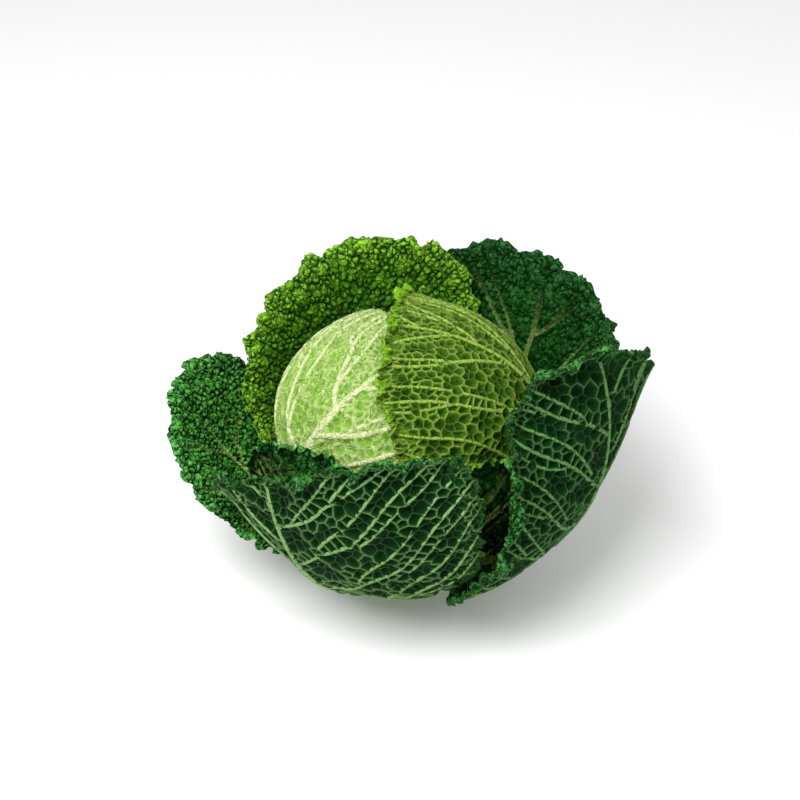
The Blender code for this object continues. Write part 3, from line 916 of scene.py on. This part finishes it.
OUTER_LEAVES = {
    "outer_leaf_front": Leaf(
        235, (106.0, 110.0), 20, 92, cell=6.2, rim_cell=3.8, group=21, netted=True, ribs=34,
        rib_width=0.42, bow=-14, skew=34, slant=24, flare=16, twist=-10, seed=55, flare_from=-60,
        curl=TURNED_TOP, ruffle=LEFT_EDGE, waves=15, bulge=3.0, relief=1.6),
    "outer_leaf_back_right": Leaf(
        47, (109.5, 103.0), 19.5, 95, cell=3.4, rim_cell=3.0, group=12, stretch=1.7, ribs=34,
        rib_width=1.4, slant=4, flare=37, seed=89, curl=TURNED, curl_radius=8, ruffle=TOP_EDGE,
        waves=15, frill=1.2, relief=1.6, bulge=2.6),
    "outer_leaf_right": Leaf(
        -24, (117.0, 110.5), 31, 80, cell=6.2, rim_cell=4.0, group=21, netted=True, ribs=34,
        rib_width=0.42, full=0.3, skew=10, slant=-46, flare=17, twist=34, seed=144,
        flare_from=-40, curl=ROLLED_EDGE, curl_radius=9, ruffle=RIGHT_EDGE, waves=15, bulge=3.0,
        relief=1.6),
    "outer_leaf_left": Leaf(
        165, (122.0, 113.0), -1, 57, stretch=1.7, ribs=30, rib_width=0.9, skew=-10, flare=26,
        seed=233, flare_from=-50, flare_to=5, curl=TURNED, curl_radius=8, ruffle=FREE_EDGE,
        waves=12, frill=1.2, relief=1.6, bulge=2.6),
    "outer_leaf_back": Leaf(
        106, (116.0, 109.0), 11, 78, cell=7.0, rim_cell=5.0, group=16, flare=34, seed=377,
        ruffle=TOP_EDGE, waves=14),
}
OUTER_LOOKS = {
    "outer_leaf_front": (deep_inside, deep_outside),
    "outer_leaf_back_right": (painted_shade_inside, deep_outside),
    "outer_leaf_right": (deep_inside, painted_shade_outside),
    "outer_leaf_left": (painted_light_inside, deep_outside),
    "outer_leaf_back": (deep_inside, deep_outside),
}
for node, leaf in OUTER_LEAVES.items():
    make_leaf(node, leaf, *OUTER_LOOKS[node], "deep_leaf")

# The studio: a plain pale floor, soft light from the upper left with a weak fill from the right,
# and the camera at the photograph's angle. Its lengths are metres, but for the lens and sensor.

FLOOR_SIZE = 30.0
LIT_POINT = (0, 0, 0.1)
SKY = 0.6  # how strong the light from all around is
LENS = 85.0
SENSOR = 36.0
DISTANCE = 1.1145
ELEVATION = 36.0
AIM = (-0.003, 0.0077)  # from the head's centre, to the right and up in the picture

ground = bmesh.new()
bmesh.ops.create_grid(ground, x_segments=1, y_segments=1, size=FLOOR_SIZE / 2)
paper, paper_shader, _ = new_material("pale_floor", 0.8, 0.0)
paper_shader.inputs["Base Color"].default_value = (0.95, 0.95, 0.95, 1)
floor = write_object("floor", ground, [paper])


def add_light(name, place, size, power):
    data = bpy.data.lights.new(name, "AREA")
    data.size = size
    data.energy = power
    made = bpy.data.objects.new(name, data)
    made.location = place
    made.rotation_euler = (Vector(LIT_POINT) - Vector(place)).to_track_quat("-Z", "Y").to_euler()
    bpy.context.scene.collection.objects.link(made)


add_light("key_light", (-0.4, -0.6, 1.25), size=0.8, power=22)
add_light("fill_light", (1.0, -0.4, 0.9), size=1.2, power=3)
world = bpy.data.worlds.new("studio")
world.use_nodes = True
world.node_tree.nodes["Background"].inputs["Color"].default_value = (1, 1, 1, 1)
world.node_tree.nodes["Background"].inputs["Strength"].default_value = SKY
bpy.context.scene.world = world

tilt = math.radians(ELEVATION)
forward = Vector((0, math.cos(tilt), -math.sin(tilt)))
upward = Vector((0, math.sin(tilt), math.cos(tilt)))
aim = Vector((AIM[0], 0, HEAD_CENTRE * MM)) + upward * AIM[1]
lens = bpy.data.cameras.new("camera")
lens.lens, lens.sensor_width = LENS, SENSOR
camera = bpy.data.objects.new("camera", lens)
camera.location = aim - forward * DISTANCE
camera.rotation_euler = forward.to_track_quat("-Z", "Y").to_euler()
bpy.context.scene.collection.objects.link(camera)
bpy.context.scene.camera = camera
bpy.context.scene.view_settings.view_transform = "Standard"
